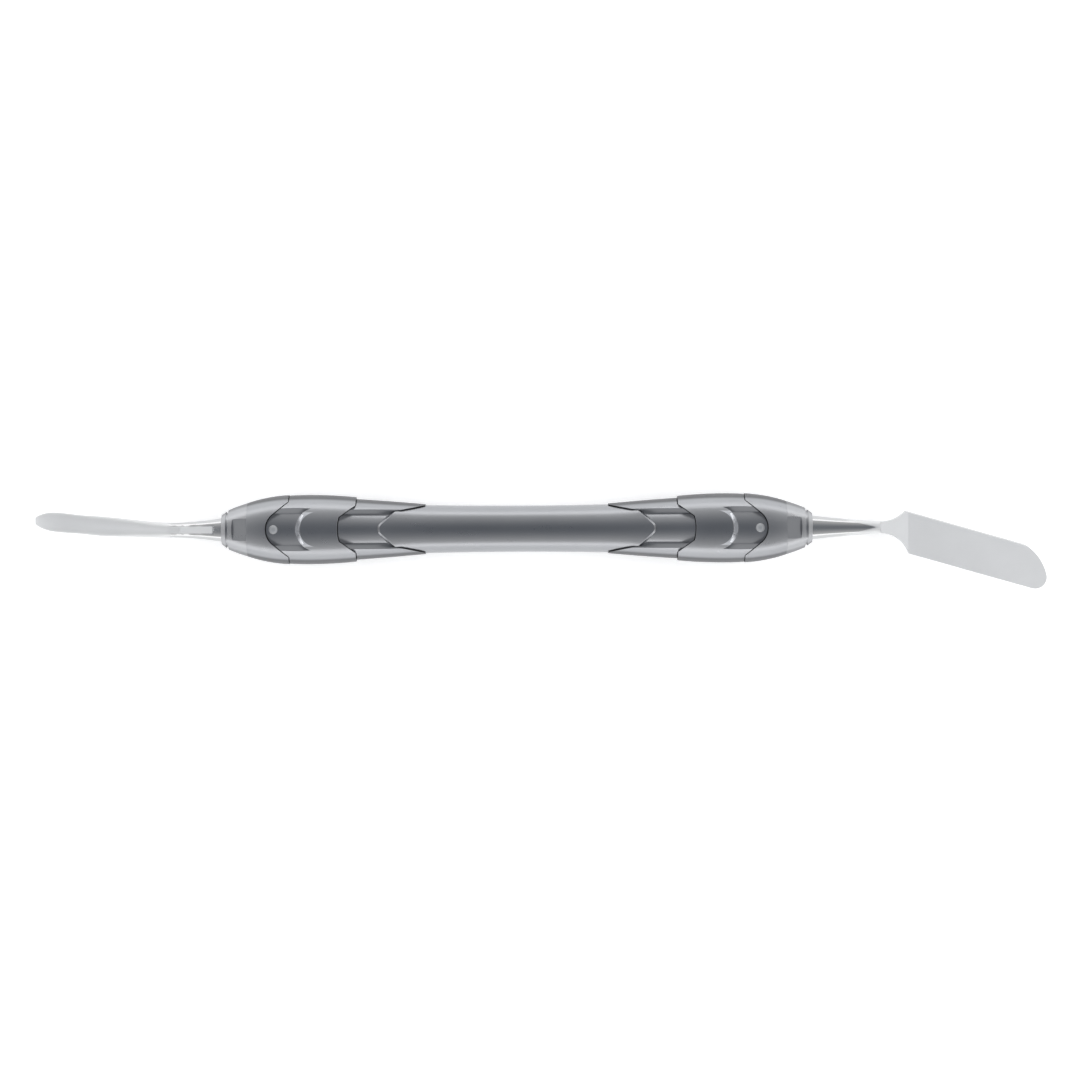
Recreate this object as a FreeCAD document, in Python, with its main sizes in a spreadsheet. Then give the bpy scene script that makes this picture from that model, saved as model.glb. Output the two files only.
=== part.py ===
import FreeCAD, Part
import os
import re
import Sketcher
from FreeCAD import Placement, Rotation, Vector

# Double-ended clay modelling tool, in millimetres. X runs along the grip, with the knife
# blade at +X and the narrow spatula at -X. Z is normal to the faces of both tools. The
# origin is on the grip's axis, halfway along its waist.
#
# Both ends of the grip are the same, so each end piece is drawn once, pointing to +X, and
# its left copy is turned half a turn about Z.

DRIVING_SIZES = {
    # grip: an apex is a distance along X from the middle of the tool to the outermost point
    # of the edge where two pieces of the grip meet, and a setback is measured back from it
    "grip_half_length": 51.1,
    "waist_radius": 4.0,
    "swell_radius": 6.01,
    "swell_setback": 7.3,
    "joint_gap": 0.12,
    # edge of the waist barrel: a V that points outwards, then a long sweep back
    "barrel_apex": 24.0,
    "barrel_apex_radius": 1.5,
    "barrel_apex_half_width": 1.1,
    "barrel_shoulder_setback": 2.5,
    "barrel_shoulder_half_width": 3.0,
    "barrel_side_setback": 8.2,
    "barrel_side_half_width": 4.1,
    # edge between the inner and outer shells
    "inner_apex": 30.9,
    "inner_apex_radius": 8.0,
    "inner_apex_half_width": 2.1,
    "inner_side_setback": 3.1,
    "inner_side_half_width": 4.1,
    # edge between the outer shell and the nose shell
    "outer_apex": 43.3,
    "outer_apex_radius": 3.4,
    "outer_apex_half_width": 2.4,
    "outer_side_setback": 3.9,
    "outer_side_half_width": 4.8,
    # waist barrel
    "waist_flare": 0.18,
    "barrel_end_flare": 0.9,
    "barrel_end_bulge": 0.1,
    "barrel_bevel": 0.35,
    # inner shell, with its finger pad's floor sloping down to the waist
    "side_step": 0.15,
    "crown_drop": 0.56,
    "inner_side_bulge": 0.07,
    "inner_pad_step": 0.5,
    "inner_pad_half_width": 2.6,
    "inner_pad_slope": 5.1,
    "pad_wall_lean": 62.0,
    # outer shell, with its finger pad's floor sloping down to the nose
    "outer_root_drop": 0.41,
    "outer_end_drop": 0.51,
    "outer_pad_depth": 0.88,
    "outer_pad_slope": 3.0,
    "outer_pad_half_width": 2.75,
    "outer_pad_length": 5.2,
    "outer_pad_end_radius": 3.75,
    "outer_pad_bevel": 0.95,
    "rest_flat_width": 2.4,
    # nose shell and end collar, whose setback is measured in from its face
    "nose_root_drop": 0.02,
    "nose_bulge": 0.26,
    "collar_length": 4.5,
    "collar_root_radius": 4.65,
    "collar_bulge": 0.05,
    "collar_neck_radius": 3.45,
    "collar_neck_setback": 1.2,
    "collar_groove_width": 0.4,
    "collar_lip": 0.45,
    "collar_groove_wall": 0.85,
    "collar_rim_wall": 1.05,
    "flat_depth": 0.4,
    "flat_width": 3.8,
    "flat_length": 2.6,
    # tang, core tube, shank, seal and locking pin
    "tang_radius": 1.8,
    "fit_clearance": 0.02,
    "core_wall": 0.68,
    "core_setback": 3.1,
    "shoulder_width": 0.3,
    "seal_thickness": 0.8,
    "pin_setback": 1.4,
    "tang_past_pin": 5.9,
    "pin_radius": 0.8,
    "pin_recess": 0.1,
    "pin_dome": 0.2,
    # spatula: waisted shank with two facets, then a leaf through oval sections;
    # a run is a distance out from the collar's face
    "facet_start_run": 1.5,
    "facet_end_run": 7.5,
    "facet_height": 1.72,
    "facet_slope": 5.0,
    "leaf_neck_run": 9.4,
    "leaf_neck_half_width": 1.3,
    "leaf_neck_half_thickness": 1.3,
    "leaf_neck_drift": 0.0,
    "leaf_throat_run": 11.9,
    "leaf_throat_half_width": 1.36,
    "leaf_throat_half_thickness": 1.06,
    "leaf_throat_drift": 0.1,
    "leaf_root_run": 14.4,
    "leaf_root_half_width": 1.45,
    "leaf_root_half_thickness": 0.85,
    "leaf_root_drift": 0.28,
    "leaf_middle_run": 21.4,
    "leaf_middle_half_width": 1.68,
    "leaf_middle_half_thickness": 0.55,
    "leaf_middle_drift": 0.76,
    "leaf_belly_run": 27.3,
    "leaf_belly_half_width": 1.7,
    "leaf_belly_half_thickness": 0.42,
    "leaf_belly_drift": 1.33,
    "leaf_crown_run": 30.8,
    "leaf_crown_half_width": 1.38,
    "leaf_crown_half_thickness": 0.34,
    "leaf_crown_drift": 1.61,
    "leaf_tip_run": 32.35,
    "leaf_tip_half_width": 0.55,
    "leaf_tip_half_thickness": 0.2,
    "leaf_tip_drift": 1.72,
    # knife: tapered shank that runs out as a ridge, fishtail and slanted blade
    "knife_neck_run": 11.9,
    "knife_neck_radius": 1.03,
    "knife_neck_bulge": 0.07,
    "knife_ridge_run": 19.9,
    "knife_ridge_radius": 0.25,
    "blade_hinge_run": 16.65,
    "blade_hinge_drop": 0.9,
    "blade_sweep": 16.0,
    "blade_half_width": 3.5,
    "blade_back_skew": 1.55,
    "blade_heel_skew": 1.1,
    "blade_back_length": 19.9,
    "blade_tip_length": 26.05,
    "blade_tip_curve": 8.3,
    "blade_heel_round": 2.0,
    "blade_shoulder_round": 0.4,
    "blade_root_half_thickness": 0.62,
    "blade_tip_half_thickness": 0.32,
    "blade_bevel": 0.2,
}

# Sizes that follow from the driving ones, so that what fits together stays together.
WORKED_OUT = {
    "core_radius": "tang_radius + fit_clearance + core_wall",
    "core_bore": "tang_radius + fit_clearance",
    "core_end": "grip_half_length - core_setback",
    "pin_reach": "outer_apex - pin_setback",
    "swell_reach": "outer_apex - swell_setback",
    "barrel_shoulder_reach": "barrel_apex - barrel_shoulder_setback",
    "barrel_side_reach": "barrel_apex - barrel_side_setback",
    "inner_side_reach": "inner_apex - inner_side_setback",
    "outer_side_reach": "outer_apex - outer_side_setback",
    "outer_pad_end_apex": "outer_apex - outer_pad_length",
    "tang_end": "pin_reach - tang_past_pin",
    "shank_radius": "tang_radius + shoulder_width",
    "seal_radius": "shank_radius + seal_thickness",
    "collar_root": "grip_half_length - collar_length",
    "collar_neck": "grip_half_length - collar_neck_setback",
    "barrel_side_radius": "waist_radius + waist_flare",
    "barrel_end_radius": "waist_radius + barrel_end_flare",
    "inner_root_radius": "waist_radius + waist_flare + side_step",
    "inner_crown_radius": "swell_radius - crown_drop",
    "outer_root_radius": "swell_radius - outer_root_drop",
    "outer_end_radius": "swell_radius - outer_end_drop",
    "outer_pad_height": "swell_radius - outer_pad_depth",
    "nose_root_radius": "swell_radius - nose_root_drop",
    "knife_neck": "grip_half_length + knife_neck_run",
    "blade_hinge": "grip_half_length + blade_hinge_run",
    "leaf_neck": "grip_half_length + leaf_neck_run",
}

# How far a cutting outline reaches past the piece that it cuts.
CLEAR = 12.0

doc = FreeCAD.newDocument("clay_modelling_tool")
sheet = doc.addObject("Spreadsheet::Sheet", "Sizes")


def fill_sheet():
    for row, (name, value) in enumerate(DRIVING_SIZES.items(), start=1):
        sheet.set(f"A{row}", name)
        sheet.set(f"B{row}", str(value))
        sheet.setAlias(f"B{row}", name)
    doc.recompute()


def formula(text):
    """Write a formula in the sheet's words, with every name pointing at its cell."""
    def spell_out(match):
        word = match[0]
        if word in WORKED_OUT:
            return f"({formula(WORKED_OUT[word])})"
        return f"Sizes.{word}" if word in DRIVING_SIZES else word

    return re.sub(r"[a-z_]+", spell_out, text)


def value_of(text):
    """Work out a formula with the sizes as they are in the sheet now."""
    result = sheet.evalExpression(formula(text))
    return float(getattr(result, "Value", result))


def origin_plane(body, role):
    for feature in body.Origin.OriginFeatures:
        if feature.Role == role:
            return feature
    raise ValueError(f"{body.Label} has no {role}")


def new_body(label):
    body = doc.addObject("PartDesign::Body", label)
    body.Label = label
    return body


def new_sketch(body, name, plane="XY_Plane"):
    sketch = body.newObject("Sketcher::SketchObject", name)
    sketch.AttachmentSupport = (origin_plane(body, plane), "")
    sketch.MapMode = "FlatFace"
    return sketch


def pin_coordinate(sketch, kind, element, text):
    """Hold one coordinate of a sketch point at a formula."""
    position = value_of(text)
    axis = -2 if kind == "DistanceX" else -1
    if abs(position) < 1e-9:
        sketch.addConstraint(Sketcher.Constraint("PointOnObject", *element, axis))
        return
    ends = (-1, 1, *element) if position > 0 else (*element, -1, 1)
    index = sketch.addConstraint(Sketcher.Constraint(kind, *ends, abs(position)))
    bound = formula(text) if position > 0 else f"-1 * ({formula(text)})"
    sketch.setExpression(f"Constraints[{index}]", bound)


def draw_outline(sketch, corners):
    """Draw a closed outline.

    Each corner is (x, y) or (x, y, radius), as formulas. A radius makes the stretch to the
    next corner an arc that bows to the right of the way the outline runs; a minus sign
    before it bows the arc to the left.
    """
    points = [Vector(value_of(corner[0]), value_of(corner[1]), 0) for corner in corners]
    starts = []
    ends = []
    for index, corner in enumerate(corners):
        first = points[index]
        last = points[(index + 1) % len(points)]
        if len(corner) == 2:
            line = sketch.addGeometry(Part.LineSegment(first, last))
            starts.append((line, 1))
            ends.append((line, 2))
            continue
        radius = value_of(corner[2])
        chord = last - first
        rise = abs(radius) - (radius ** 2 - (chord.Length / 2) ** 2) ** 0.5
        side = Vector(chord.y, -chord.x, 0).normalize() * (rise if radius > 0 else -rise)
        curve = Part.Arc(first, (first + last) / 2 + side, last)
        arc = sketch.addGeometry(curve)
        forward = (sketch.getPoint(arc, 1) - first).Length < (sketch.getPoint(arc, 2) - first).Length
        starts.append((arc, 1 if forward else 2))
        ends.append((arc, 2 if forward else 1))
        index_radius = sketch.addConstraint(Sketcher.Constraint("Radius", arc, abs(radius)))
        sketch.setExpression(f"Constraints[{index_radius}]", f"abs({formula(corner[2])})")
    for index, corner in enumerate(corners):
        sketch.addConstraint(Sketcher.Constraint("Coincident", *ends[index - 1], *starts[index]))
        pin_coordinate(sketch, "DistanceX", starts[index], corner[0])
        pin_coordinate(sketch, "DistanceY", starts[index], corner[1])


def feature(body, kind, name, sketch, **settings):
    made = body.newObject(f"PartDesign::{kind}", name)
    made.Profile = sketch
    for key, setting in settings.items():
        setattr(made, key, setting)
    return made


def revolve(body, name, corners, kind="Revolution"):
    """Turn an outline in the XY plane about the tool's axis."""
    sketch = new_sketch(body, f"{name}_outline")
    draw_outline(sketch, corners)
    return feature(body, kind, name, sketch, ReferenceAxis=(sketch, ["H_Axis"]), Angle=360)


def cut_through(body, name, corners, plane="XY_Plane"):
    """Cut an outline right through the body, both ways from its plane."""
    sketch = new_sketch(body, f"{name}_outline", plane)
    draw_outline(sketch, corners)
    length = 4 * CLEAR
    return feature(body, "Pocket", name, sketch, SideType="Symmetric", Length=length)


def repeat_round_axis(body, name, original, count):
    """Repeat a feature round the tool's axis."""
    pattern = body.newObject("PartDesign::PolarPattern", name)
    pattern.Originals = [original]
    pattern.Axis = (origin_plane(body, "X_Axis"), [""])
    pattern.Angle = 360
    pattern.setExpression("Occurrences", count)
    body.Tip = pattern
    return pattern


def edge_line(prefix, shift="0", sweep=False):
    """Half of the line where two shells meet, from its apex to past the side of the grip.

    Returns its corners from the middle of the apex outwards, as (x, half width) formulas.
    """
    sag = f"{prefix}_apex_radius - sqrt({prefix}_apex_radius ^ 2 - {prefix}_apex_half_width ^ 2)"
    corners = [(f"{prefix}_apex - ({sag}) - {shift}", f"{prefix}_apex_half_width")]
    if sweep:
        corners.append((f"{prefix}_shoulder_reach - {shift}", f"{prefix}_shoulder_half_width"))
    corners.append((f"{prefix}_side_reach - {shift}", f"{prefix}_side_half_width"))
    corners.append((f"{prefix}_side_reach - {shift}", str(CLEAR)))
    return corners


def beyond(prefix, outward, shift="0", sweep=False):
    """Outline of everything on one side of the line where two shells meet."""
    far = f"{prefix}_apex + {CLEAR}" if outward else f"{prefix}_side_reach - 2 * {CLEAR}"
    half = edge_line(prefix, shift, sweep)
    upper = [(far, str(CLEAR))] + half[::-1]
    lower = [(x, f"-1 * {y}") for x, y in half] + [(far, f"-{CLEAR}")]
    apex = (*upper[-1], f"-1 * {prefix}_apex_radius")
    return upper[:-1] + [apex] + lower


def tilt_floor(sketch, reach, height, slope):
    """Lay a sketch on a plane that passes through (reach, 0, height) and climbs with X."""
    sketch.AttachmentOffset = Placement(Vector(), Rotation(Vector(0, 1, 0), 1))
    rise = f"tan(({slope}) * 1 deg)"
    sketch.setExpression("AttachmentOffset.Base.z", formula(f"({height} - ({reach}) * {rise}) * 1 mm"))
    sketch.setExpression("AttachmentOffset.Rotation.Angle", formula(f"-1 deg * ({slope})"))


def cut_above(body, name, corners, reach, height, slope="0"):
    """Cut everything that stands over an outline on a sloping floor, at front and back."""
    sketch = new_sketch(body, f"{name}_outline")
    tilt_floor(sketch, reach, height, slope)
    draw_outline(sketch, corners)
    pocket = feature(body, "Pocket", name, sketch, Length=CLEAR, Reversed=True)
    repeat_round_axis(body, f"{name}_back", pocket, "2")
    return pocket


def tangent_curve(run, rise):
    """Radius of an arc that leaves the tool's axis direction and climbs rise over run."""
    return f"((({run}) ^ 2 + ({rise}) ^ 2) / (2 * ({rise})))"


def bulged_curve(run, rise, bulge):
    """Radius of an arc over a chord, from how far the arc stands off the chord's middle."""
    return f"((({run}) ^ 2 + ({rise}) ^ 2) / (8 * {bulge}) + {bulge} / 2)"


def rectangle(low_x, high_x, half_width):
    return [(low_x, f"-1 * {half_width}"), (high_x, f"-1 * {half_width}"),
            (high_x, half_width), (low_x, half_width)]


def dress_edges(body, kind, name, wanted, size):
    """Chamfer or fillet the edges of the body whose middle the test wanted accepts."""
    doc.recompute()
    base = body.Tip
    edges = [f"Edge{index}" for index, edge in enumerate(base.Shape.Edges, start=1)
             if wanted(edge.CenterOfMass)]
    made = body.newObject(f"PartDesign::{kind}", name)
    made.Base = (base, edges)
    made.setExpression("Size" if kind == "Chamfer" else "Radius", formula(size))
    return made


def core_tube():
    body = new_body("core_tube")
    revolve(body, "tube", [("-1 * core_end", "core_bore"), ("core_end", "core_bore"),
                           ("core_end", "core_radius"), ("-1 * core_end", "core_radius")])
    drill_for_pins(body, ["pin_reach", "-1 * pin_reach"])
    return body


def drill_for_pins(body, reaches):
    for number, reach in enumerate(reaches, start=1):
        sketch = new_sketch(body, f"pin_hole_{number}_outline")
        centre = Vector(value_of(reach), 0, 0)
        circle = sketch.addGeometry(Part.Circle(centre, Vector(0, 0, 1), value_of("pin_radius")))
        radius = sketch.addConstraint(Sketcher.Constraint("Radius", circle, value_of("pin_radius")))
        sketch.setExpression(f"Constraints[{radius}]", formula("pin_radius"))
        pin_coordinate(sketch, "DistanceX", (circle, 3), reach)
        pin_coordinate(sketch, "DistanceY", (circle, 3), "0")
        feature(body, "Pocket", f"pin_hole_{number}", sketch, SideType="Symmetric", Length=4 * CLEAR)


def waist_barrel():
    body = new_body("waist_barrel")
    waist_curve = tangent_curve("barrel_side_reach", "waist_flare")
    flare_curve = bulged_curve("barrel_apex - barrel_side_reach", "barrel_end_flare - waist_flare",
                               "barrel_end_bulge")
    revolve(body, "barrel", [
        ("-1 * barrel_apex", "core_radius"),
        ("barrel_apex", "core_radius"),
        ("barrel_apex", "barrel_end_radius", f"-1 * {flare_curve}"),
        ("barrel_side_reach", "barrel_side_radius", f"-1 * {waist_curve}"),
        ("-1 * barrel_side_reach", "barrel_side_radius", f"-1 * {flare_curve}"),
        ("-1 * barrel_apex", "barrel_end_radius"),
    ])
    right = cut_through(body, "right_point", beyond("barrel", True, sweep=True))
    repeat = body.newObject("PartDesign::Mirrored", "left_point")
    repeat.Originals = [right]
    repeat.MirrorPlane = (origin_plane(body, "YZ_Plane"), [""])
    body.Tip = repeat

    def on_point(middle):
        outside = (middle.y ** 2 + middle.z ** 2) ** 0.5 > value_of("barrel_side_radius")
        return outside and abs(middle.x) > value_of("barrel_shoulder_reach")

    dress_edges(body, "Chamfer", "point_bevel", on_point, "barrel_bevel")
    return body


def inner_shell(label):
    body = new_body(label)
    side_curve = bulged_curve("inner_apex - barrel_side_reach", "inner_crown_radius - inner_root_radius",
                              "inner_side_bulge")
    revolve(body, "shell", [
        ("barrel_side_reach", "core_radius"),
        ("inner_apex", "core_radius"),
        ("inner_apex", "inner_crown_radius", side_curve),
        ("barrel_side_reach", "inner_root_radius"),
    ])
    cut_through(body, "outward_end", beyond("inner", True, "joint_gap"))
    cut_through(body, "waist_end", beyond("barrel", False, sweep=True))
    start = "(barrel_side_reach - 1)"
    crown = f"(barrel_end_radius - inner_pad_step - (barrel_apex - {start}) * tan(inner_pad_slope * 1 deg))"
    sink_pads(body, "inner", start, crown, "inner_pad_slope")
    return body


def sink_pads(body, prefix, start, crown, slope, land=None):
    """Sink finger pads into the front and back of a shell.

    Their floors are crowned, with the crown at that height over start, and climb with X.
    Their side walls lean outwards. land is an outline that the pads leave alone.
    """
    cutter = new_body(f"{body.Label}_pad_cutter")
    sketch = new_sketch(cutter, "pad_section", "YZ_Plane")
    sketch.AttachmentOffset = Placement(Vector(), Rotation(Vector(1, 0, 0), 1))
    sketch.setExpression("AttachmentOffset.Base.y", formula(f"{crown} * 1 mm"))
    sketch.setExpression("AttachmentOffset.Base.z", formula(f"{start} * 1 mm"))
    sketch.setExpression("AttachmentOffset.Rotation.Angle", formula(f"-1 deg * ({slope})"))
    foot = f"({prefix}_pad_half_width)"
    sag = f"(sqrt({crown} ^ 2 - {foot} ^ 2) - {crown})"
    rim = f"({foot} + ({CLEAR} - {sag}) * tan(pad_wall_lean * 1 deg))"
    draw_outline(sketch, [(f"-1 * {foot}", sag, f"-1 * {crown}"), (foot, sag),
                          (rim, str(CLEAR)), (f"-1 * {rim}", str(CLEAR))])
    pad = feature(cutter, "Pad", "pad", sketch)
    pad.setExpression("Length", formula(f"({prefix}_apex + {CLEAR} - {start}) * 1 mm"))
    repeat_round_axis(cutter, "pads", pad, "2")
    if land:
        cut_through(cutter, "land", land)
    pads = body.newObject("PartDesign::Boolean", "finger_pads")
    pads.Type = "Cut"
    pads.setObjects([cutter])


def bevel_pad_end(body, centre):
    """Lean the round end wall of the outer finger pads back, as part of a cone."""
    sketch = new_sketch(body, "pad_end_bevel_outline", "XZ_Plane")
    sketch.setExpression("AttachmentOffset.Base.x", formula(f"{centre} * 1 mm"))
    low = "(outer_pad_height - (outer_pad_end_apex - swell_reach) * tan(outer_pad_slope * 1 deg))"
    top = "(swell_radius + joint_gap)"
    foot = "outer_pad_end_radius"
    draw_outline(sketch, [(foot, low), (foot, top), ("outer_pad_end_radius - outer_pad_bevel", top)])
    upright = (sketch, ["V_Axis"])
    bevel = feature(body, "Groove", "pad_end_bevel", sketch, ReferenceAxis=upright, Midplane=True)
    bevel.setExpression("Angle", formula("2 * asin(outer_pad_half_width / outer_pad_end_radius)"))
    repeat_round_axis(body, "pad_end_bevel_back", bevel, "2")


def outer_shell(label):
    body = new_body(label)
    root_curve = tangent_curve("swell_reach - inner_side_reach", "swell_radius - outer_root_radius")
    end_curve = tangent_curve("outer_apex - swell_reach", "swell_radius - outer_end_radius")
    revolve(body, "shell", [
        ("inner_side_reach", "core_radius"),
        ("outer_apex", "core_radius"),
        ("outer_apex", "outer_end_radius", end_curve),
        ("swell_reach", "swell_radius", root_curve),
        ("inner_side_reach", "outer_root_radius"),
    ])
    cut_through(body, "outward_end", beyond("outer", True, "joint_gap"))
    cut_through(body, "waist_end", beyond("inner", False))
    radius = "outer_pad_end_radius"
    centre = "(outer_pad_end_apex - outer_pad_end_radius)"
    half = "(outer_pad_end_radius - joint_gap)"
    corner = f"({centre} + sqrt({radius} ^ 2 - {half} ^ 2))"
    land = [(centre, half), (centre, f"-1 * {half}"), (corner, f"-1 * {half}", radius), (corner, half)]
    crown = f"(outer_pad_height + (swell_reach - {centre}) * tan(outer_pad_slope * 1 deg))"
    sink_pads(body, "outer", centre, crown, "-1 * outer_pad_slope", land)
    bevel_pad_end(body, centre)
    rest = rectangle("inner_side_reach - 1", "outer_apex + 1", str(CLEAR))
    sketch = new_sketch(body, "rest_flat_outline")
    tilt_floor(sketch, "0", "-1 * sqrt(swell_radius ^ 2 - (rest_flat_width / 2) ^ 2)", "0")
    draw_outline(sketch, rest)
    feature(body, "Pocket", "rest_flat", sketch, Length=CLEAR)
    drill_for_pins(body, ["pin_reach"])
    return body


def nose_shell(label):
    body = new_body(label)
    nose_curve = bulged_curve("collar_root - outer_side_reach", "nose_root_radius - collar_root_radius",
                              "nose_bulge")
    revolve(body, "shell", [
        ("outer_side_reach", "core_radius"),
        ("collar_root", "core_radius"),
        ("collar_root", "collar_root_radius", nose_curve),
        ("outer_side_reach", "nose_root_radius"),
    ])
    cut_through(body, "waist_end", beyond("outer", False))
    return body


def end_collar(label):
    body = new_body(label)
    seal_end = "(core_end + seal_thickness)"
    rim = "(collar_neck + collar_groove_width)"
    bore = "(shank_radius + fit_clearance)"
    dome = bulged_curve("collar_neck - collar_root", "collar_root_radius - collar_neck_radius",
                        "collar_bulge")
    revolve(body, "collar", [
        ("collar_root", "core_radius"), ("core_end", "core_radius"),
        ("core_end", "seal_radius"), (seal_end, "seal_radius"),
        (seal_end, bore), ("grip_half_length", bore),
        ("grip_half_length", "shank_radius + collar_lip"), (rim, "shank_radius + collar_rim_wall"),
        (rim, "shank_radius + collar_groove_wall"), ("collar_neck", "shank_radius + collar_groove_wall"),
        ("collar_neck", "collar_neck_radius", dome), ("collar_root", "collar_root_radius"),
    ])
    slope = "(atan((collar_root_radius - collar_neck_radius) / (collar_neck - collar_root)) / 1 deg)"
    along = f"collar_root / cos({slope} * 1 deg)"
    flat = rectangle(f"{along} - 1", f"{along} + flat_length", "(flat_width / 2)")
    cut_above(body, "flat", flat, "collar_root", "(collar_root_radius - flat_depth)", f"-1 * {slope}")
    return body


def shank_seal(label, side):
    ring = doc.addObject("Part::Torus", label)
    ring.Label = label
    ring.setExpression("Radius1", formula("(shank_radius + seal_thickness / 2) * 1 mm"))
    ring.setExpression("Radius2", formula("seal_thickness / 2 * 1 mm"))
    ring.Placement = Placement(Vector(), Rotation(Vector(0, 1, 0), 90))
    ring.setExpression("Placement.Base.x", formula(f"{side} * (core_end + seal_thickness / 2) * 1 mm"))
    return ring


def locking_pin(label, side):
    """A plain pin with domed ends, drawn along X and stood up through the grip."""
    body = new_body(label)
    floor = "outer_pad_height - (pin_reach - swell_reach) * tan(outer_pad_slope * 1 deg)"
    half = f"({floor} - pin_recess)"
    dome = "((pin_radius ^ 2 + pin_dome ^ 2) / (2 * pin_dome))"
    revolve(body, "pin", [
        (f"-1 * {half} - pin_dome", "0"),
        (f"{half} + pin_dome", "0", dome),
        (half, "pin_radius"),
        (f"-1 * {half}", "pin_radius", dome),
    ])
    body.Placement = Placement(Vector(), Rotation(Vector(0, 1, 0), 90))
    body.setExpression("Placement.Base.x", formula(f"{side} * pin_reach * 1 mm"))
    return body


def add_shank(body, neck):
    """Turn the tang, the shoulder that seats on the core tube and the shank as one piece.

    neck lists the shank's own corners, from the tool end back to the collar.
    """
    revolve(body, "shank", [
        ("tang_end", "0"),
        (neck[0][0], "0"),
        *neck,
        ("grip_half_length", "shank_radius"),
        ("core_end", "shank_radius"),
        ("core_end", "tang_radius"),
        ("tang_end", "tang_radius"),
    ])
    drill_for_pins(body, ["pin_reach"])


def blade_point(along, across):
    """A place on the slanted blade, as (x, y) formulas in the tool's own frame."""
    cosine = "cos(blade_sweep * 1 deg)"
    sine = "sin(blade_sweep * 1 deg)"
    return (f"(blade_hinge + ({along}) * {cosine} + ({across}) * {sine})",
            f"(({across}) * {cosine} - ({along}) * {sine} - blade_hinge_drop)")


def symmetric_pad(body, name, sketch, thickness):
    pad = feature(body, "Pad", name, sketch, SideType="Symmetric")
    pad.setExpression("Length", formula(f"{thickness} * 1 mm"))
    return pad


def knife_fishtail(body):
    """Flat web whose concave sides spread from the shank to the shoulders of the blade."""
    top_x, top_y = blade_point("-1 * blade_back_skew", "blade_half_width")
    low_x, low_y = blade_point("blade_heel_skew", "-1 * blade_half_width")
    top_curve = tangent_curve(f"{top_x} - knife_neck", f"{top_y} - knife_neck_radius")
    low_curve = tangent_curve(f"{low_x} - knife_neck", f"-1 * {low_y} - knife_neck_radius")
    sketch = new_sketch(body, "fishtail_outline")
    draw_outline(sketch, [
        ("knife_neck", "-1 * knife_neck_radius", f"-1 * {low_curve}"),
        (low_x, low_y),
        (top_x, top_y, f"-1 * {top_curve}"),
        ("knife_neck", "knife_neck_radius"),
    ])
    symmetric_pad(body, "fishtail", sketch, "2 * knife_neck_radius")


def knife_blade(body):
    """Slanted blade with a swept tip: a long curve to the point, then a tight heel."""
    sketch = new_sketch(body, "blade_outline")
    sketch.AttachmentOffset = Placement(Vector(), Rotation(Vector(0, 0, 1), -1))
    sketch.setExpression("AttachmentOffset.Base.x", formula("blade_hinge * 1 mm"))
    sketch.setExpression("AttachmentOffset.Base.y", formula("-1 mm * blade_hinge_drop"))
    sketch.setExpression("AttachmentOffset.Rotation.Angle", formula("-1 deg * blade_sweep"))
    draw_outline(sketch, [
        ("blade_heel_skew", "-1 * blade_half_width"),
        ("blade_tip_length", "-1 * blade_half_width", "blade_tip_curve"),
        ("blade_back_length", "blade_half_width"),
        ("-1 * blade_back_skew", "blade_half_width"),
    ])
    symmetric_pad(body, "blade", sketch, "2 * knife_neck_radius")


def thin_knife(body):
    """Thin the web and the blade from the neck to the tip, on both faces."""
    tip = "(blade_hinge + blade_tip_length)"
    wedge = cut_through(body, "face", [
        ("knife_neck", "knife_neck_radius"),
        ("blade_hinge", "blade_root_half_thickness"),
        (tip, "blade_tip_half_thickness"),
        (tip, str(CLEAR)),
        ("knife_neck", str(CLEAR)),
    ], "XZ_Plane")
    repeat_round_axis(body, "faces", wedge, "2")


def knife_tip():
    body = new_body("knife_tip")
    knife_fishtail(body)
    knife_blade(body)
    sweep = Rotation(Vector(0, 0, 1), value_of("blade_sweep"))
    hinge = Vector(value_of("blade_hinge"), -value_of("blade_hinge_drop"), 0)

    def at_heel(middle):
        place = sweep.multVec(middle - hinge)
        return place.x > value_of("blade_back_length") and place.y < 1 - value_of("blade_half_width")

    def at_shoulder(middle):
        place = sweep.multVec(middle - hinge)
        outside = abs(place.y) > value_of("blade_half_width") - 0.1
        return outside and abs(place.x) < value_of("blade_half_width") and abs(place.z) < 0.1

    def on_cutting_edge(middle):
        place = sweep.multVec(middle - hinge)
        along_back = place.y > value_of("blade_half_width") - 0.1 and place.x > 1
        return along_back and abs(place.z) > value_of("blade_tip_half_thickness") / 2

    dress_edges(body, "Fillet", "heel_round", at_heel, "blade_heel_round")
    thin_knife(body)
    dress_edges(body, "Fillet", "shoulder_round", at_shoulder, "blade_shoulder_round")
    dress_edges(body, "Chamfer", "cutting_edge", on_cutting_edge, "blade_bevel")
    neck_curve = bulged_curve("knife_neck_run", "shank_radius - knife_neck_radius", "knife_neck_bulge")
    add_shank(body, [
        ("grip_half_length + knife_ridge_run", "knife_ridge_radius"),
        ("knife_neck", "knife_neck_radius", f"-1 * {neck_curve}"),
    ])
    return body


def leaf_section(name):
    """One oval section of the spatula, square to the tool's axis."""
    oval = doc.addObject("Part::Ellipse", f"{name}_section")
    oval.setExpression("MajorRadius", formula(f"{name}_half_width * 1 mm"))
    oval.setExpression("MinorRadius", formula(f"{name}_half_thickness * 1 mm"))
    across = Rotation(Vector(0, 1, 0), Vector(0, 0, 1), Vector(1, 0, 0))
    oval.Placement = Placement(Vector(), across)
    oval.setExpression("Placement.Base.x", formula(f"(grip_half_length + {name}_run) * 1 mm"))
    oval.setExpression("Placement.Base.y", formula(f"-1 mm * {name}_drift"))
    return oval


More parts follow.
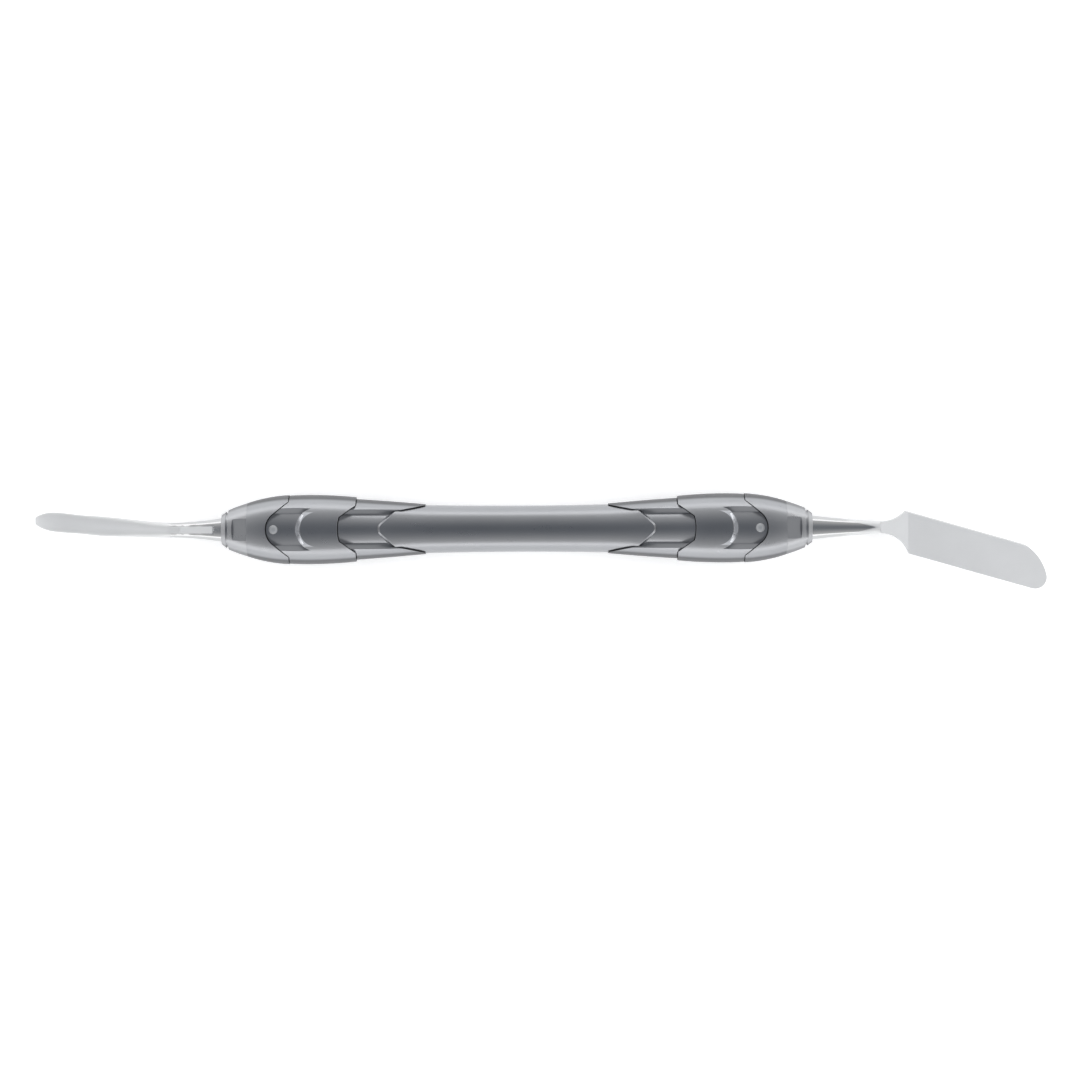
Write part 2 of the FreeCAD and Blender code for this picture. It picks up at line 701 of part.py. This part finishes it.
def spatula_tip():
    shank = new_body("spatula_shank")
    neck_curve = tangent_curve("leaf_neck_run", "shank_radius - leaf_neck_half_width")
    add_shank(shank, [("leaf_neck", "leaf_neck_half_width", f"-1 * {neck_curve}")])
    start = "(grip_half_length + facet_start_run)"
    facet = rectangle(start, "(grip_half_length + facet_end_run)", "shank_radius")
    cut_above(shank, "facet", facet, start, "facet_height", "-1 * facet_slope")
    leaf = doc.addObject("Part::Loft", "spatula_leaf")
    names = ("neck", "throat", "root", "middle", "belly", "crown", "tip")
    leaf.Sections = [leaf_section(f"leaf_{name}") for name in names]
    leaf.Solid = True
    tip = doc.addObject("Part::Fuse", "spatula_tip")
    tip.Label = "spatula_tip"
    tip.Base = shank
    tip.Tool = leaf
    return tip


def turn_left(piece):
    """Stand a piece that was drawn towards +X at the left end of the tool."""
    piece.Placement = Placement(Vector(), Rotation(Vector(0, 0, 1), 180))
    return piece


def all_pieces():
    end_pieces = {"inner_shell": inner_shell, "outer_shell": outer_shell,
                  "nose_shell": nose_shell, "end_collar": end_collar}
    pieces = [core_tube(), waist_barrel(), knife_tip(), turn_left(spatula_tip())]
    for name, build in end_pieces.items():
        pieces.append(build(f"right_{name}"))
        pieces.append(turn_left(build(f"left_{name}")))
    for side, word in ((1, "right"), (-1, "left")):
        pieces.append(shank_seal(f"{word}_shank_seal", side))
        pieces.append(locking_pin(f"{word}_locking_pin", side))
    return pieces


def check_and_export(pieces):
    doc.recompute()
    failed = [item.Name for item in doc.Objects if {"Invalid", "Error"} & set(item.State)]
    failed += [piece.Label for piece in pieces if piece.Shape.isNull() or not piece.Shape.isValid()]
    if failed:
        raise RuntimeError(f"these features failed: {failed}")
    os.makedirs("parts", exist_ok=True)
    for piece in pieces:
        piece.Shape.exportStep(f"parts/{piece.Label}.step")


fill_sheet()
check_and_export(all_pieces())
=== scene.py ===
"""Double-ended clay modelling tool: finishes for its CAD pieces, and the studio around it."""

import math

import bpy
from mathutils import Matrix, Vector


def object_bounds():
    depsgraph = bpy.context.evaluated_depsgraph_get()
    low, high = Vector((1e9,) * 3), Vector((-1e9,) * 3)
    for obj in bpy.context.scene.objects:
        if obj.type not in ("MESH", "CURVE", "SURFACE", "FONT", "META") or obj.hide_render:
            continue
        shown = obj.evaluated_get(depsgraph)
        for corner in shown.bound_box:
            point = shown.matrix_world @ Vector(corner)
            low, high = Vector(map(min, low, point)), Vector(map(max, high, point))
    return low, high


bl_info = {
    "name": "Clay Modelling Tool",
    "version": (1, 0, 0),
    "blender": (4, 5, 0),
    "location": "3D View > Sidebar > Modelling Tool",
    "description": "Finishes a double-ended clay modelling tool and sets up its studio",
    "category": "Object",
}

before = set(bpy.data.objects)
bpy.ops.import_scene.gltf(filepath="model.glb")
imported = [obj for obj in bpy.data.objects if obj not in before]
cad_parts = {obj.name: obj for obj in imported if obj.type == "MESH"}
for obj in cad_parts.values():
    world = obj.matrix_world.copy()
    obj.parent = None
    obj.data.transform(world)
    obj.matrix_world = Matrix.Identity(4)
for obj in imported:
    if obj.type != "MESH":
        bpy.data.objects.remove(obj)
LOW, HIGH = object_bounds()
CENTRE = (LOW + HIGH) / 2
MM = 0.001
CORE_ROUGHNESS = 0.4
PIN_ROUGHNESS = 0.45
# Share of the side grain, and of its painted shade on the sides, that the end collars get.
COLLAR_GRAIN_AND_SHADE = 0.7
FLOOR_HALF_WIDTH = 3.0
LENS_MM = 120.0

# Lights, in metres: their places from the middle of the tool, and (width, height).
SIDE_LIGHT_REACH = 0.7
SIDE_LIGHT_HEIGHT = 0.1
SIDE_LIGHT_SIZE = (2.4, 0.2)
END_LIGHT_REACH = 0.45
END_LIGHT_HEIGHT = 0.4
END_LIGHT_SIZE = (0.3, 0.3)

# The round end wall of an outer finger pad leans back from its foot to its top. These are
# the middle of its circle, out along the grip, and the radii of its top and its foot. The
# wall fades out over WALL_FADE at its top and foot, and past WALL_HALF_WIDTH at its ends.
PAD_END_CENTRE = 34.35 * MM
PAD_END_TOP = 2.95 * MM
PAD_END_FOOT = 3.68 * MM
WALL_FADE = 0.1 * MM
WALL_HALF_WIDTH = 2.8 * MM
WALL_END_FADE = 0.3 * MM
WALL_SIDE_FADE = 1.0 * MM


# Shader maths -----------------------------------------------------------------------------


class Number:
    """A shader value that ordinary arithmetic works on."""

    def __init__(self, finish, socket):
        self.finish = finish
        self.socket = socket

    def _maths(self, operation, first, second):
        node = self.finish.add("ShaderNodeMath", {"operation": operation}, {0: first, 1: second})
        return Number(self.finish, node.outputs[0])

    def __add__(self, other):
        return self._maths("ADD", self, other)

    def __radd__(self, other):
        return self._maths("ADD", other, self)

    def __sub__(self, other):
        return self._maths("SUBTRACT", self, other)

    def __rsub__(self, other):
        return self._maths("SUBTRACT", other, self)

    def __mul__(self, other):
        return self._maths("MULTIPLY", self, other)

    def __rmul__(self, other):
        return self._maths("MULTIPLY", other, self)

    def absolute(self):
        return self._maths("ABSOLUTE", self, 0.0)

    def ramp(self, low, high):
        """0 below low, 1 above high, and smooth between them."""
        settings = {"interpolation_type": "SMOOTHSTEP"}
        values = {"Value": self, "From Min": low, "From Max": high}
        return Number(self.finish, self.finish.add("ShaderNodeMapRange", settings, values).outputs[0])


class Finish:
    """A node material that is built up one layer at a time."""

    def __init__(self, name):
        self.material = bpy.data.materials.new(name)
        self.material.use_nodes = True
        self.tree = self.material.node_tree
        self.tree.nodes.clear()
        self.surface = self.add("ShaderNodeBsdfPrincipled")
        output = self.tree.nodes.new("ShaderNodeOutputMaterial")
        self.tree.links.new(self.surface.outputs[0], output.inputs["Surface"])
        self.place = self.add("ShaderNodeTexCoord").outputs["Object"]

    def add(self, kind, settings=None, values=None):
        """Make a node, set it up, then give its sockets their values or links."""
        node = self.tree.nodes.new(kind)
        for name, setting in (settings or {}).items():
            setattr(node, name, setting)
        for name, value in (values or {}).items():
            self.feed(node.inputs[name], value)
        return node

    def feed(self, socket, value):
        if isinstance(value, Number):
            self.tree.links.new(value.socket, socket)
        elif isinstance(value, bpy.types.NodeSocket):
            self.tree.links.new(value, socket)
        else:
            socket.default_value = value

    def axis(self, name):
        return Number(self, self.add("ShaderNodeSeparateXYZ", None, {0: self.place}).outputs[name])

    def noise(self, size, detail=2.0, stretch=(1.0, 1.0, 1.0), turn=0.0):
        """Noise from 0 to 1 whose blotches are about size metres across."""
        mapping = {"Vector": self.place, "Scale": stretch, "Rotation": (0.0, 0.0, turn)}
        spread = self.add("ShaderNodeMapping", None, mapping).outputs[0]
        values = {"Vector": spread, "Scale": 1.0 / size, "Detail": detail}
        return Number(self, self.add("ShaderNodeTexNoise", None, values).outputs[0])

    def blend(self, factor, first, second):
        """A colour that goes from first to second as factor goes from 0 to 1."""
        values = {"Factor": factor, 6: first, 7: second}
        return self.add("ShaderNodeMix", {"data_type": "RGBA"}, values).outputs[2]

    def relief(self, height, depth, edge=0.0):
        """Bump the surface by height times depth metres, with its corners rounded by edge metres."""
        values = {"Height": height, "Distance": depth, "Strength": 1.0}
        if edge:
            values["Normal"] = self.add("ShaderNodeBevel", {"samples": 6}, {"Radius": edge}).outputs[0]
        self.set(Normal=self.add("ShaderNodeBump", None, values).outputs[0])

    def set(self, **values):
        for name, value in values.items():
            self.feed(self.surface.inputs[name.replace("_", " ")], value)
        return self


def shade(colour, factor):
    """A colour made lighter or darker."""
    return (*(channel * factor for channel in colour[:3]), 1.0)


def both_sides(piece):
    """The names of a piece's left and right copies."""
    return [f"{side}_{piece}" for side in ("left", "right")]


def dress(nodes, material):
    """Give CAD nodes their material."""
    for name in nodes:
        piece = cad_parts[name]
        piece.data.materials.clear()
        piece.data.materials.append(material)


# Finishes ---------------------------------------------------------------------------------


# Mask for the painted highlight on the end walls of the outer finger pads.
def pad_end_wall(finish):
    """1 on the round end walls of the outer shells' finger pads, and 0 elsewhere."""
    outward = finish.axis("X").absolute() - PAD_END_CENTRE
    across = finish.axis("Y").absolute()
    reach = outward * outward + across * across
    wall = reach.ramp(PAD_END_TOP ** 2, (PAD_END_TOP + WALL_FADE) ** 2)
    wall = wall - reach.ramp(PAD_END_FOOT ** 2, (PAD_END_FOOT + WALL_FADE) ** 2)
    ends = across.ramp(WALL_HALF_WIDTH, WALL_HALF_WIDTH + WALL_END_FADE)
    return wall * outward.ramp(0.0, WALL_SIDE_FADE) * (1.0 - ends)


def moulded_resin(name, colour, roughness, edge, side_grain_and_shade=0.0, pad_wall_highlight=0.0):
    """Satin resin full of metal flake: fine grain, slow sheen drift and faint handling marks.

    side_grain_and_shade is how much the two sides turn to a coarse matt grain and darken in painted shade,
    and burnish how much the end walls of the outer finger pads are lightened in a painted highlight.
    """
    finish = Finish(name)
    grain = finish.noise(0.14 * MM, detail=3.0)
    drift = finish.noise(9.0 * MM, detail=2.0)
    marks = finish.noise(1.6 * MM, detail=4.0, stretch=(0.35, 1.0, 1.0))
    worn = marks.ramp(0.58, 0.76)
    # Painted shade: the steep sides get a darker colour; their coarser grain and higher roughness are real.
    steepness = finish.axis("Y").absolute() * 0.62 - finish.axis("Z").absolute()
    side = steepness.ramp(-0.4 * MM, 0.8 * MM) * side_grain_and_shade
    smooth = finish.blend(drift * 0.6 + grain * 0.4, shade(colour, 0.9), shade(colour, 1.1))
    grained_and_shaded = finish.blend(side, smooth, shade(colour, 0.42))
    # Painted highlight: the end walls of the outer finger pads get a colour 2.2 times lighter.
    bright = pad_end_wall(finish) * pad_wall_highlight
    finish.set(
        Base_Color=finish.blend(bright, grained_and_shaded, shade(colour, 2.2)),
        Metallic=1.0,
        Roughness=roughness + (drift - 0.5) * 0.06 + (grain - 0.5) * 0.06 - worn * 0.04 + side * 0.16,
    )
    finish.relief(grain + marks * 0.35 + grain * side, 0.006 * MM, edge)
    return finish.material


def tool_steel(name, colour, polished, satin, satin_from):
    """Steel that is polished on the shanks and brushed satin on the blades and neck facets.

    satin_from gives the places along X where the leaf, the facets and the blade start to be
    brushed. On the knife the polish runs out to a point in the middle of the shank.
    """
    finish = Finish(name)
    along = finish.axis("X")
    across = finish.axis("Y").absolute()
    leaf_from, facet_from, blade_from = satin_from
    taper = 4.0
    fade = 1.0 * MM
    facet_fade = 0.2 * MM
    blade = (along + across * taper).ramp(blade_from - fade, blade_from + fade)
    polished_neck = along.ramp(leaf_from - fade, leaf_from + fade)
    facet_sides = 1.0 - across.ramp(0.5 * MM, 0.75 * MM)
    facets = (1.0 - along.ramp(facet_from - facet_fade, facet_from + facet_fade)) * facet_sides
    brushed = blade + 1.0 - polished_neck * (1.0 - facets)
    lines = finish.noise(0.09 * MM, detail=3.0, stretch=(0.03, 1.0, 1.0), turn=math.radians(16.0))
    cloud = finish.noise(5.0 * MM, detail=3.0)
    tone = brushed * (cloud * 0.3 + lines * 0.2 + 0.6)
    mean_roughness = polished + brushed * (satin - polished)
    finish.set(
        Base_Color=finish.blend(tone, shade(colour, 0.74), shade(colour, 1.04)),
        Metallic=1.0,
        Roughness=mean_roughness + (cloud - 0.5) * 0.05 + (lines - 0.5) * brushed * 0.12,
    )
    finish.relief(lines * brushed, 0.004 * MM, 0.06 * MM)
    return finish.material


def drawn_steel(name, colour, roughness):
    """Drawn or ground steel: short fine lines along the grip, and a little cloudiness."""
    finish = Finish(name)
    lines = finish.noise(0.12 * MM, detail=2.0, stretch=(0.08, 1.0, 1.0))
    cloud = finish.noise(2.5 * MM)
    finish.set(
        Base_Color=finish.blend(cloud, shade(colour, 0.9), shade(colour, 1.08)),
        Metallic=1.0,
        Roughness=roughness + (lines - 0.5) * 0.15,
    )
    finish.relief(lines, 0.003 * MM, 0.08 * MM)
    return finish.material


def nitrile(name, colour):
    """Black rubber with a dusty bloom."""
    finish = Finish(name)
    bloom = finish.noise(0.4 * MM, detail=4.0)
    finish.set(
        Base_Color=finish.blend(bloom, shade(colour, 0.8), shade(colour, 1.6)),
        Roughness=0.62 + bloom * 0.2,
    )
    finish.relief(bloom, 0.01 * MM)
    return finish.material


# Settings ---------------------------------------------------------------------------------


def colour_setting(name, description, default):
    return bpy.props.FloatVectorProperty(
        name=name, description=description, default=default, subtype="COLOR", size=3, min=0.0, max=1.0
    )


def length_setting(name, description, default):
    return bpy.props.FloatProperty(
        name=name, description=description, default=default, unit="LENGTH", subtype="DISTANCE"
    )


def share_setting(name, description, default):
    return bpy.props.FloatProperty(
        name=name, description=description, default=default, min=0.0, max=1.0, subtype="FACTOR"
    )


class GripSettings(bpy.types.PropertyGroup):
    resin: colour_setting("Resin", "Colour of the moulded grip", (0.375, 0.382, 0.398))
    collar: colour_setting("Collar", "Colour of the end collars", (0.43, 0.436, 0.45))
    roughness: share_setting("Roughness", "How matt the moulded resin is", 0.3)
    edge: length_setting("Edge", "Rounding of the moulded edges", 0.14 * MM)
    # This setting lightens the end walls of the outer finger pads: a painted highlight.
    pad_wall_highlight: share_setting("Highlight", "Brightness of the end walls of the outer finger pads", 1.0)
    # This setting also darkens the steep sides of the shells: painted shade, beside a real matt grain.
    side_grain_and_shade: share_setting("Side grain", "Strength of the matt grain along the sides of the shells", 1.0)


class SteelSettings(bpy.types.PropertyGroup):
    tool: colour_setting("Tool steel", "Colour of the blades and shanks", (0.74, 0.745, 0.75))
    core: colour_setting("Core steel", "Colour of the core tube", (0.42, 0.43, 0.44))
    pin: colour_setting("Pin steel", "Colour of the locking pins", (0.8, 0.81, 0.82))
    rubber: colour_setting("Seal rubber", "Colour of the shank seals", (0.02, 0.02, 0.02))
    polished: share_setting("Polished", "Roughness of the polished shanks", 0.12)
    satin: share_setting("Satin", "Roughness of the brushed blades", 0.6)
    leaf_from: length_setting("Leaf from", "Where the spatula's brushed finish starts", -60.2 * MM)
    facet_from: length_setting("Facets from", "Where the brushed facets of the neck start", -52.6 * MM)
    blade_from: length_setting("Blade from", "Where the knife's brushed finish starts", 62.4 * MM)


class StudioSettings(bpy.types.PropertyGroup):
    floor: colour_setting("Floor", "Colour of the studio floor", (0.92, 0.92, 0.92))
    glow: share_setting("Glow", "How much the floor glows, as a light table does", 0.36)
    width: length_setting("Width", "How much of the floor the picture takes in", 187.2 * MM)
    aim_x: length_setting("Aim X", "Where along the tool the picture is centred", 3.99 * MM)
    aim_y: length_setting("Aim Y", "Where across the tool the picture is centred", -1.975 * MM)
    roll: bpy.props.FloatProperty(
        name="Roll", description="Turn of the picture", default=math.radians(-0.24), subtype="ANGLE"
    )
    ceiling: colour_setting("Ceiling", "Light that comes from straight above", (0.19, 0.205, 0.23))
    walls: colour_setting("Walls", "Light that comes from all round", (0.78, 0.78, 0.78))
    side_power: bpy.props.FloatProperty(
        name="Side lights", description="Power of each long side light", default=1.7, unit="POWER"
    )
    leaf_power: bpy.props.FloatProperty(
        name="Spatula light", description="Power of the light beyond the spatula", default=1.05, unit="POWER"
    )
    blade_power: bpy.props.FloatProperty(
        name="Knife light", description="Power of the light beyond the knife", default=1.35, unit="POWER"
    )


# Operators --------------------------------------------------------------------------------


class TOOL_OT_grip(bpy.types.Operator):
    """Finish the waist barrel and the shells of the grip in satin resin"""

    bl_idname = "modelling_tool.grip"
    bl_label = "Grip"

    def execute(self, context):
        grip = context.scene.tool_grip
        resin = (grip.resin, grip.roughness, grip.edge)
        plain = moulded_resin("grip_resin", *resin)
        # The shells' steep sides get painted shade along with their matt grain.
        grained_and_shaded = moulded_resin("grained_and_shaded_grip_resin", *resin, grip.side_grain_and_shade)
        # The outer shells also get the painted highlight on their pad end walls.
        padded = moulded_resin("padded_grip_resin", *resin, grip.side_grain_and_shade, grip.pad_wall_highlight)
        dress(["waist_barrel"], plain)
        dress(both_sides("inner_shell") + both_sides("nose_shell"), grained_and_shaded)
        dress(both_sides("outer_shell"), padded)
        return {"FINISHED"}


class TOOL_OT_collars(bpy.types.Operator):
    """Finish the two end collars in a lighter resin"""

    bl_idname = "modelling_tool.collars"
    bl_label = "End collars"

    def execute(self, context):
        grip = context.scene.tool_grip
        # The collars' sides get the matt grain and the painted side shade too.
        side_grain_and_shade = grip.side_grain_and_shade * COLLAR_GRAIN_AND_SHADE
        resin = moulded_resin("collar_resin", grip.collar, grip.roughness, grip.edge, side_grain_and_shade)
        dress(both_sides("end_collar"), resin)
        return {"FINISHED"}


class TOOL_OT_tips(bpy.types.Operator):
    """Finish the knife and the spatula in polished and brushed steel"""

    bl_idname = "modelling_tool.tips"
    bl_label = "Knife and spatula"

    def execute(self, context):
        steel = context.scene.tool_steel
        satin_from = (steel.leaf_from, steel.facet_from, steel.blade_from)
        material = tool_steel("tool_steel", steel.tool, steel.polished, steel.satin, satin_from)
        dress(["knife_tip", "spatula_tip"], material)
        return {"FINISHED"}


class TOOL_OT_core(bpy.types.Operator):
    """Finish the core tube, the locking pins and the shank seals"""

    bl_idname = "modelling_tool.core"
    bl_label = "Core, pins and seals"

    def execute(self, context):
        steel = context.scene.tool_steel
        dress(["core_tube"], drawn_steel("core_steel", steel.core, CORE_ROUGHNESS))
        dress(both_sides("locking_pin"), drawn_steel("pin_steel", steel.pin, PIN_ROUGHNESS))
        dress(both_sides("shank_seal"), nitrile("seal_rubber", steel.rubber))
        return {"FINISHED"}


def soft_light(name, place, aim, size, power, lit=()):
    """A soft rectangular light that faces a point. Given lit, it lights those objects only."""
    data = bpy.data.lights.new(name, "AREA")
    data.shape = "RECTANGLE"
    data.size, data.size_y = size
    data.energy = power
    lamp = bpy.data.objects.new(name, data)
    lamp.location = place
    lamp.rotation_euler = (Vector(aim) - Vector(place)).to_track_quat("-Z", "Y").to_euler()
    bpy.context.scene.collection.objects.link(lamp)
    if lit:
        group = bpy.data.collections.new(f"{name}_lights")
        for piece in lit:
            group.objects.link(piece)
        lamp.light_linking.receiver_collection = group


def studio_floor(colour, glow):
    mesh = bpy.data.meshes.new("studio_floor")
    half = FLOOR_HALF_WIDTH
    corners = [(-half, -half, LOW.z), (half, -half, LOW.z), (half, half, LOW.z), (-half, half, LOW.z)]
    mesh.from_pydata(corners, [], [(0, 1, 2, 3)])
    floor = bpy.data.objects.new("studio_floor", mesh)
    bpy.context.scene.collection.objects.link(floor)
    finish = Finish("studio_floor")
    paper = finish.noise(40.0 * MM)
    finish.set(
        Base_Color=finish.blend(paper, shade(colour, 0.995), shade(colour, 1.0)),
        Roughness=0.9,
        Emission_Color=(1.0, 1.0, 1.0, 1.0),
        Emission_Strength=glow,
    )
    mesh.materials.append(finish.material)
    return floor


def studio_sky(ceiling, walls):
    """Soft light all round, fading to a dim ceiling where the camera hangs."""
    world = bpy.data.worlds.new("studio_sky")
    world.use_nodes = True
    tree = world.node_tree
    direction = tree.nodes.new("ShaderNodeTexCoord").outputs["Generated"]
    height = tree.nodes.new("ShaderNodeSeparateXYZ")
    tree.links.new(direction, height.inputs[0])
    square = tree.nodes.new("ShaderNodeMath")
    square.operation = "POWER"
    square.inputs[1].default_value = 2.0
    tree.links.new(height.outputs["Z"], square.inputs[0])
    fade = tree.nodes.new("ShaderNodeMix")
    fade.data_type = "RGBA"
    fade.inputs[6].default_value = (*walls, 1.0)
    fade.inputs[7].default_value = (*ceiling, 1.0)
    tree.links.new(square.outputs[0], fade.inputs["Factor"])
    tree.links.new(fade.outputs[2], tree.nodes["Background"].inputs["Color"])
    bpy.context.scene.world = world


def studio_camera(width, aim, roll):
    """Camera straight above the tool, with a long lens and +Y up in the picture."""
    data = bpy.data.cameras.new("camera")
    data.lens = LENS_MM
    distance = width * data.lens / data.sensor_width
    camera = bpy.data.objects.new("camera", data)
    camera.location = (*aim, distance)
    camera.rotation_euler.z = roll
    data.clip_start = distance / 100
    data.clip_end = distance * 100
    bpy.context.scene.collection.objects.link(camera)
    bpy.context.scene.camera = camera


class TOOL_OT_studio(bpy.types.Operator):
    """Lay the floor and set up the soft lights and the camera"""

    bl_idname = "modelling_tool.studio"
    bl_label = "Studio"

    def execute(self, context):
        studio = context.scene.tool_studio
        floor = studio_floor(studio.floor, studio.glow)
        tips = [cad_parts[name] for name in ("knife_tip", "spatula_tip")]
        studio_sky(studio.ceiling, studio.walls)
        middle = (CENTRE.x, 0, 0)
        for side in (-1, 1):
            place = (CENTRE.x, side * SIDE_LIGHT_REACH, SIDE_LIGHT_HEIGHT)
            soft_light(f"side_light_{side}", place, middle, SIDE_LIGHT_SIZE, studio.side_power)
        for side, power in ((-1, studio.leaf_power), (1, studio.blade_power)):
            place = (CENTRE.x + side * END_LIGHT_REACH, 0, END_LIGHT_HEIGHT)
            soft_light(f"end_light_{side}", place, middle, END_LIGHT_SIZE, power, [*tips, floor])
        studio_camera(studio.width, (studio.aim_x, studio.aim_y), studio.roll)
        context.scene.view_settings.view_transform = "Standard"
        return {"FINISHED"}


OPERATORS = (TOOL_OT_grip, TOOL_OT_collars, TOOL_OT_tips, TOOL_OT_core, TOOL_OT_studio)


class TOOL_PT_panel(bpy.types.Panel):
    """Lists the steps that finish the modelling tool"""

    bl_label = "Clay Modelling Tool"
    bl_idname = "TOOL_PT_panel"
    bl_space_type = "VIEW_3D"
    bl_region_type = "UI"
    bl_category = "Modelling Tool"

    def draw(self, context):
        for operator in OPERATORS:
            self.layout.operator(operator.bl_idname)
        for settings in (context.scene.tool_grip, context.scene.tool_steel, context.scene.tool_studio):
            column = self.layout.column()
            for name in settings.__annotations__:
                column.prop(settings, name)


SETTINGS = {"tool_grip": GripSettings, "tool_steel": SteelSettings, "tool_studio": StudioSettings}


def register():
    for kind in (*SETTINGS.values(), *OPERATORS, TOOL_PT_panel):
        bpy.utils.register_class(kind)
    for name, kind in SETTINGS.items():
        setattr(bpy.types.Scene, name, bpy.props.PointerProperty(type=kind))


def unregister():
    for name in SETTINGS:
        delattr(bpy.types.Scene, name)
    for kind in (TOOL_PT_panel, *reversed(OPERATORS), *reversed(SETTINGS.values())):
        bpy.utils.unregister_class(kind)


def main():
    register()
    for operator in OPERATORS:
        group, name = operator.bl_idname.split(".")
        getattr(getattr(bpy.ops, group), name)()


if __name__ == "__main__":
    main()
